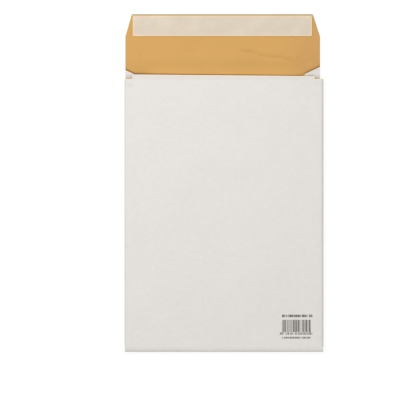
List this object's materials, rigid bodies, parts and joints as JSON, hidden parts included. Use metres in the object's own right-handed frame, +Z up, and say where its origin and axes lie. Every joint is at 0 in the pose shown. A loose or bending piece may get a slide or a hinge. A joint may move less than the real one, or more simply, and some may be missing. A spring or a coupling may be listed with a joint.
{
  "type": "padded envelope",
  "caption": "Padded gusset envelope in white paper with a kraft lining, lying flat with its peel-and-seal flap open and its pocket empty.",
  "frame": {"origin": "on the surface that the envelope lies on, under the middle of its outline with the flap open", "axes": "+X across the width, to the right of the printed side; +Y along the length, from the bottom fold towards the flap; +Z up, out of the printed top panel"},
  "size_m": [0.229, 0.3886, 0.0129],
  "materials": {
    "white_kraft": "matt white bleached kraft with a faint mottle from the padding below",
    "cushion_web": "soft grey-buff cushioning paper",
    "golden_kraft": "matt golden-brown ribbed kraft with fine creases",
    "glue_band": "tacky translucent glue",
    "release_paper": "smooth cream peel-off paper with a low sheen"
  },
  "bodies": {
    "root": {"outer_sheet": "white_kraft", "padding": "cushion_web", "kraft_liner": "golden_kraft", "adhesive_strip": "glue_band", "release_strip": "release_paper"}
  },
  "joints": []
}
